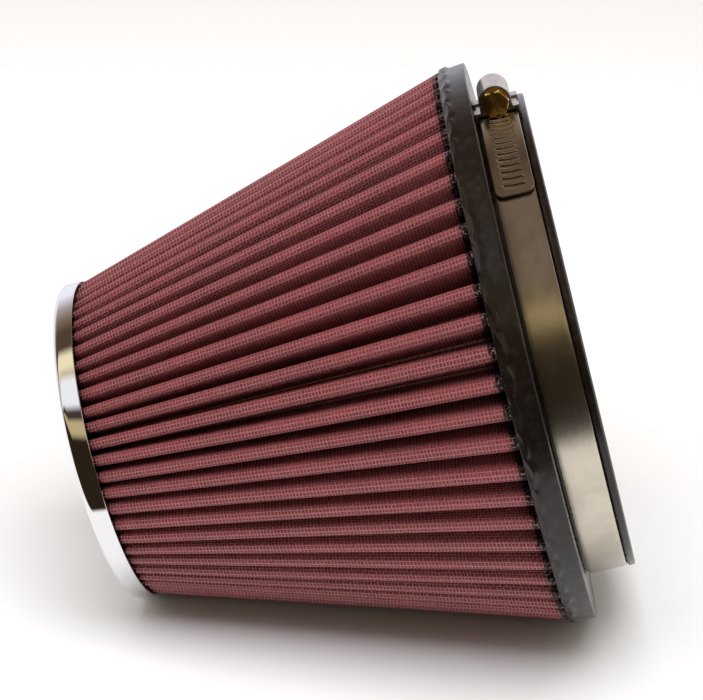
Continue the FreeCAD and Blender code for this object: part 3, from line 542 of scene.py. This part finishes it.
# Plain-woven wire with red oiled cotton bulging through it. With U and V in wire pitches, a wire's
# round top is sqrt(1 - (d / w)^2), d its distance from the wire's middle, and it rises and sinks as
# cos(pi (V - 1/2 + floor U)) along its length, the crossing wires the other way about. The ends are
# soaked black by the urethane.
def makeWovenWire(name, wireColour, cotton, cottonDarkAndShade):
    material, tree, shader = newMaterial(name, cotton, 0.6, 0.0, {"IOR": 1.47})
    uv = addNode(tree, "ShaderNodeUVMap").outputs["UV"]
    split = addNode(tree, "ShaderNodeSeparateXYZ", None, {0: uv})
    wobble = calc(tree, "MULTIPLY_ADD", grain(tree, 7.0, 2.0), 0.9, -0.45)
    across = calc(tree, "DIVIDE", split.outputs["X"], weave["pitch"])
    along = calc(tree, "ADD", calc(tree, "DIVIDE", split.outputs["Y"], weave["pitch"]), wobble)
    tops = []
    for here, other, sign in ((across, along, 1.0), (along, across, -1.0)):
        centred = calc(tree, "SUBTRACT", calc(tree, "FRACT", here), 0.5)
        ratio = calc(tree, "DIVIDE", centred, weave["wire"])
        squared = calc(tree, "MULTIPLY", ratio, ratio)
        profile = calc(tree, "SQRT", calc(tree, "MAXIMUM", calc(tree, "SUBTRACT", 1.0, squared), 0.0))
        phase = calc(tree, "ADD", calc(tree, "SUBTRACT", other, 0.5), calc(tree, "FLOOR", here))
        wave = calc(tree, "COSINE", calc(tree, "MULTIPLY", phase, math.pi))
        lifted = calc(tree, "MULTIPLY_ADD", wave, 0.55 * sign, 1.0)
        tops.append(calc(tree, "MULTIPLY", profile, lifted))
    wires = calc(tree, "MAXIMUM", tops[0], tops[1])
    isWire = fade(tree, wires, 0.12, 0.4)
    fibres = grain(tree, 0.35, 4.0)
    bulge = calc(tree, "MULTIPLY_ADD", fibres, 0.35, 0.15)
    height = calc(tree, "MAXIMUM", wires, bulge)
    bump(tree, shader, height, 0.36)
    # painted shade: the cotton is darker where its fibres sink, in the hollows of the bump; the patches after
    # it are a darker tone at random
    red = mixColours(tree, fade(tree, fibres, 0.3, 0.75), cottonDarkAndShade, cotton)
    patch = fade(tree, grain(tree, 16.0, 3.0), 0.3, 0.7)
    red = mixColours(tree, calc(tree, "MULTIPLY", patch, 0.35), red, cottonDarkAndShade)
    body = mixColours(tree, isWire, red, wireColour)
    edge = calc(tree, "MULTIPLY_ADD", grain(tree, 2.4, 3.0), 3.2, -1.6)
    v = calc(tree, "ADD", split.outputs["Y"], edge)
    atBase = fade(tree, v, slantLength - weave["soakBase"] - 0.7, slantLength - weave["soakBase"] + 0.7)
    atCap = fade(tree, v, weave["soakCap"] + 0.6, weave["soakCap"] - 0.6)
    bare = calc(tree, "MULTIPLY", isWire, fade(tree, grain(tree, 0.9, 2.0), 0.48, 0.6))
    soaked = calc(tree, "MULTIPLY", calc(tree, "MAXIMUM", atBase, atCap), calc(tree, "SUBTRACT", 1.0, bare))
    tree.links.new(mixColours(tree, soaked, body, weave["soakColour"]), shader.inputs["Base Color"])
    metal = calc(tree, "MULTIPLY", isWire, calc(tree, "MULTIPLY_ADD", soaked, -0.55, 0.55))
    tree.links.new(metal, shader.inputs["Metallic"])
    rough = calc(tree, "MULTIPLY_ADD", isWire, -0.28, 0.66)
    rough = calc(tree, "MULTIPLY_ADD", soaked, -0.2, rough)
    tree.links.new(rough, shader.inputs["Roughness"])
    return material


# open cotton gauze, wetted red by its oil
def makeGauze():
    material, tree, shader = newMaterial("OiledCottonGauze", weave["cotton"], 0.75, 0.0, {"IOR": 1.47})
    uv = addNode(tree, "ShaderNodeUVMap").outputs["UV"]
    split = addNode(tree, "ShaderNodeSeparateXYZ", None, {0: uv})
    threads = []
    for out in ("X", "Y"):
        wave = calc(tree, "COSINE", calc(tree, "MULTIPLY", split.outputs[out], 2 * math.pi / 0.6))
        threads.append(wave)
    cloth = calc(tree, "MAXIMUM", threads[0], threads[1])
    bump(tree, shader, calc(tree, "ADD", cloth, grain(tree, 0.3, 3.0)), 0.05)
    # painted shade: the red is darker where the threads sink, in the gaps between them
    red = mixColours(tree, fade(tree, cloth, 0.2, 1.0), weave["cottonDarkAndShade"], weave["cotton"])
    tree.links.new(red, shader.inputs["Base Color"])
    return material


def makePack():
    wireCloth = makeWovenWire("WovenWireOverRedCotton", weave["wireColour"], weave["cotton"],
                              weave["cottonDarkAndShade"])
    gauze = makeGauze()
    offset = packThickness / 2
    outer = pleatedSheet("OuterWireScreen", offset, pleat["screen"], wireCloth, 7, 4, pleat["rows"])
    offset -= pleat["screen"] + pleat["gap"]
    pieces = [(outer, "outer_wire_screen", "screen_wire")]
    for number in range(1, pleat["plies"] + 1):
        ply = pleatedSheet("CottonPly%d" % number, offset, pleat["gauze"], gauze, 6, 3, 8)
        pieces.append((ply, "cotton_ply_%d" % number, "oiled_cotton"))
        offset -= pleat["gauze"] + pleat["gap"]
    inner = pleatedSheet("InnerWireScreen", offset, pleat["screen"], wireCloth, 7, 4, pleat["rows"])
    pieces.append((inner, "inner_wire_screen", "screen_wire"))
    for obj, node, slotName in pieces:
        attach(obj, "filter")
        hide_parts(node)


makePack()
print("pleats are done")

base = {"start": 141.5, "thickness": 8.9, "shoulder": 94.4, "rim": 95.25, "bore": 76.2, "stub": 79.8,
        "lip": 80.9, "lipWidth": 2.6, "length": 16.6, "flashDepth": 1.1, "flashHeight": 0.9,
        "flashWidth": 0.7, "perPleat": 10, "spacing": 0.68}


# The moulded base. Its outline goes around with a flash that is scalloped by the pleats it was cast
# against: near its pleat side the radius grows by depth exp(-((h - line) / width)^2), the line itself
# waving once per pleat.
def makeBase():
    material = makeUrethane("MouldedUrethane", "#150e0a", 0.27)
    face = base["start"] + base["thickness"]
    end = face + base["length"]
    outline = fillOutline(roundCorners([
        (base["bore"], base["start"], 0), (base["shoulder"], base["start"], 0.5), (base["rim"], face, 0.5),
        (base["stub"], face, 0.7), (base["stub"], end - base["lipWidth"], 0.3),
        (base["lip"], end - base["lipWidth"], 0.8), (base["lip"], end, 0.8),
        (base["bore"], end, 0.8)], 5), base["spacing"])
    turns = pleat["count"] * base["perPleat"]
    angle = np.linspace(0, 2 * np.pi, turns, endpoint=False)
    pleatTurn = (angle - math.radians(pleat["phase"])) * pleat["count"]
    scallop = np.abs(np.cos(pleatTurn / 2)) ** 0.8
    irregular = smoothWave(angle / (2 * np.pi), 150, 0.35) + smoothWave(angle / (2 * np.pi), 41, 0.3)
    radius, height = outline[:, :1], outline[:, 1:]
    line = base["start"] + base["flashHeight"] + 1.3 * scallop[None, :] + irregular[None, :]
    ridge = np.exp(-((height - line) / base["flashWidth"]) ** 2)
    outside = np.clip((radius - base["shoulder"] + 1.2) / 1.2, 0, 1)
    depth = base["flashDepth"] * (0.75 + 0.5 * irregular[None, :])
    radii = radius + outside * ridge * depth
    points = layDown(radii, angle[None, :], height + 0 * radii)
    obj = gridObject("UrethaneBase", points, True, True, material)
    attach(obj, "filter")
    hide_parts("urethane_base")


makeBase()
print("base is done")


# Rolled stainless strip. The rolling marks run along the band, so the noise is stretched around the
# axis: its coordinates are the UV, in millimetres around and across.
def makeRolledSteel(name, colour, roughness, streak):
    material, tree, shader = newMaterial(name, colour, roughness, 1.0)
    uv = addNode(tree, "ShaderNodeUVMap").outputs["UV"]
    lines = addNode(tree, "ShaderNodeMapping", {"Scale": (0.012, 2.4, 1.0)}, {"Vector": uv})
    marks = addNode(tree, "ShaderNodeTexNoise", {"Scale": 1.0, "Detail": 6.0}, {"Vector": lines.outputs[0]})
    fine = addNode(tree, "ShaderNodeMapping", {"Scale": (0.05, 14.0, 1.0)}, {"Vector": uv})
    hair = addNode(tree, "ShaderNodeTexNoise", {"Scale": 1.0, "Detail": 4.0}, {"Vector": fine.outputs[0]})
    both = calc(tree, "ADD", marks.outputs["Fac"], hair.outputs["Fac"])
    bump(tree, shader, both, 0.012 * streak)
    tree.links.new(calc(tree, "MULTIPLY_ADD", marks.outputs["Fac"], 0.16, roughness - 0.08),
                   shader.inputs["Roughness"])
    smudge = fade(tree, grain(tree, 11.0, 4.0), 0.35, 0.7)
    tree.links.new(mixColours(tree, calc(tree, "MULTIPLY", smudge, 0.3), colour, "#857b70"),
                   shader.inputs["Base Color"])
    return material


band = {"radius": 80.0, "thickness": 0.65, "width": 12.7, "rounding": 0.2}
tail = {"radius": 81.45, "thickness": 0.75, "ahead": 33.8, "behind": 18.0, "corner": 2.6, "pitch": 2.8,
        "slotsAhead": 17, "slotsBehind": 8, "slotWidth": 1.5, "slotLength": 7.4, "slotDepth": 0.7,
        "ridge": 0.18, "smile": 0.035, "lean": 5.7, "place": 182.2, "rowsAcross": 44, "columnsAlong": 760}


def makeBand():
    half = band["width"] / 2
    outer = band["radius"] + band["thickness"]
    outline = fillOutline(roundCorners([
        (band["radius"], clampHeight - half, band["rounding"]), (outer, clampHeight - half, band["rounding"]),
        (outer, clampHeight + half, band["rounding"]),
        (band["radius"], clampHeight + half, band["rounding"])], 3), 1.6)
    steel = makeRolledSteel("RolledStainlessBand", "#c9c1b3", 0.24, 1.0)
    obj = turnedObject("ClampBand", outline, steel, 480)
    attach(obj, "clamp")
    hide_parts("clamp_band")


# The slotted end: a strip along the band with a rounded free end. A slot is a trough of raised-cosine
# section, bent like a smile, with a small ridge rolled up along its lower edge.
def makeTail():
    startAngle, endAngle = -math.radians(tail["behind"]), math.radians(tail["ahead"])
    along = np.linspace(startAngle, endAngle, tail["columnsAlong"]) * tail["radius"]
    endAt = along[-1]
    intoCorner = np.clip(along - (endAt - tail["corner"]), 0, tail["corner"])
    rounding = np.sqrt(np.clip(tail["corner"] ** 2 - intoCorner ** 2, 0, None))
    halfWidth = band["width"] / 2 - tail["corner"] + rounding
    across = np.linspace(-1, 1, tail["rowsAcross"])[:, None] * halfWidth[None, :]
    lean = math.tan(math.radians(tail["lean"]))
    bent = along[None, :] + tail["smile"] * across ** 2 - lean * across
    slot = np.round(bent / tail["pitch"])
    inRange = (slot >= 1 - tail["slotsBehind"]) & (slot <= tail["slotsAhead"] - 1)
    away = (bent - slot * tail["pitch"]) / (tail["slotWidth"] / 2)
    endFade = np.clip((tail["slotLength"] / 2 - np.abs(across)) / 0.7, 0, 1) * inRange
    trough = np.where(np.abs(away) < 1, 0.5 + 0.5 * np.cos(np.pi * away), 0) * endFade
    lift = np.exp(-((away - 1.25) / 0.28) ** 2) * endFade
    top = tail["radius"] + tail["thickness"] - tail["slotDepth"] * trough + tail["ridge"] * lift
    rim = 0.18 * np.clip(1 - (halfWidth[None, :] - np.abs(across)) / 0.35, 0, 1) ** 2
    bottom = tail["radius"] + 0.02 + 0 * top
    turn = math.radians(tail["place"]) + along[None, :] / tail["radius"]
    faces = [layDown(level, turn, clampHeight + across) for level in (top - rim, bottom)]
    points = np.concatenate([faces[0], faces[1][::-1]])
    ends = [np.repeat(points[:, [c]].mean(axis=0, keepdims=True), len(points), axis=0) for c in (0, -1)]
    points = np.concatenate([ends[0], points, ends[1]], axis=1)
    v = np.concatenate([np.linspace(0, 1, tail["rowsAcross"]), np.linspace(1, 0, tail["rowsAcross"]), [0]])
    u = np.concatenate([along[:1], along, along[-1:]])
    uv = np.stack(np.broadcast_arrays(u[None, :], v[:, None] * band["width"]), -1)
    obj = gridObject("ClampBandTail", points, True, False,
                     makeRolledSteel("SlottedStainlessBand", "#b3a898", 0.24, 0.5), uv)
    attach(obj, "band_tail")
    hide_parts("clamp_band_tail")


# pressed stainless sheet: satin, with a soft grain and painted shade in random darker patches
def makePressedSteel():
    material, tree, shader = newMaterial("PressedStainless", "#cfc9c2", 0.28, 1.0)
    tree.links.new(calc(tree, "MULTIPLY_ADD", grain(tree, 1.3, 1.0), 0.12, 0.24), shader.inputs["Roughness"])
    shade = fade(tree, grain(tree, 3.5, 3.0), 0.35, 0.7)
    tree.links.new(mixColours(tree, calc(tree, "MULTIPLY", shade, 0.25), "#c4bdb6", "#938c84"),
                   shader.inputs["Base Color"])
    return material


# yellow zinc plate: gold with brassier and greener patches
def makeYellowZinc():
    material, tree, shader = newMaterial("YellowZincPlate", "#ffd873", 0.3, 1.0)
    patch = fade(tree, grain(tree, 3.0, 1.0), 0.3, 0.7)
    tree.links.new(mixColours(tree, patch, "#f0c050", "#ffe79a"), shader.inputs["Base Color"])
    tree.links.new(calc(tree, "MULTIPLY_ADD", grain(tree, 2.5, 1.0), 0.15, 0.12), shader.inputs["Roughness"])
    return material


# the driver slot's own turn: only what lies past the start, along the screw, is turned
screwHead = {"start": 6.9, "turn": 93}


def makeClampParts():
    pressed = makePressedSteel()
    zinc = makeYellowZinc()
    for node, name, width, material, body, slotName, turn in (
            ("clamp_housing", "ClampHousing", 0.22, pressed, "clamp", "housing_steel", 0),
            ("clamp_saddle", "ClampSaddle", 0.18, pressed, "clamp", "housing_steel", 0),
            ("clamp_screw", "ClampScrew", 0.15, zinc, "screw", "screw_yellow_zinc", screwHead["turn"])):
        obj = easedCopy(node, name, width, material, turn)
        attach(obj, body)
        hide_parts(node)


def paintSeamClip():
    material, tree, shader = newMaterial("PlainSteelStrip", "#8f8d8a", 0.35, 1.0)
    bump(tree, shader, grain(tree, 0.6, 3.0), 0.02)
    node = frame["nodes"]["seam_clip"]
    node.data.materials.clear()
    node.data.materials.append(material)


makeBand()
makeTail()
makeClampParts()
paintSeamClip()
print("clamp is done")
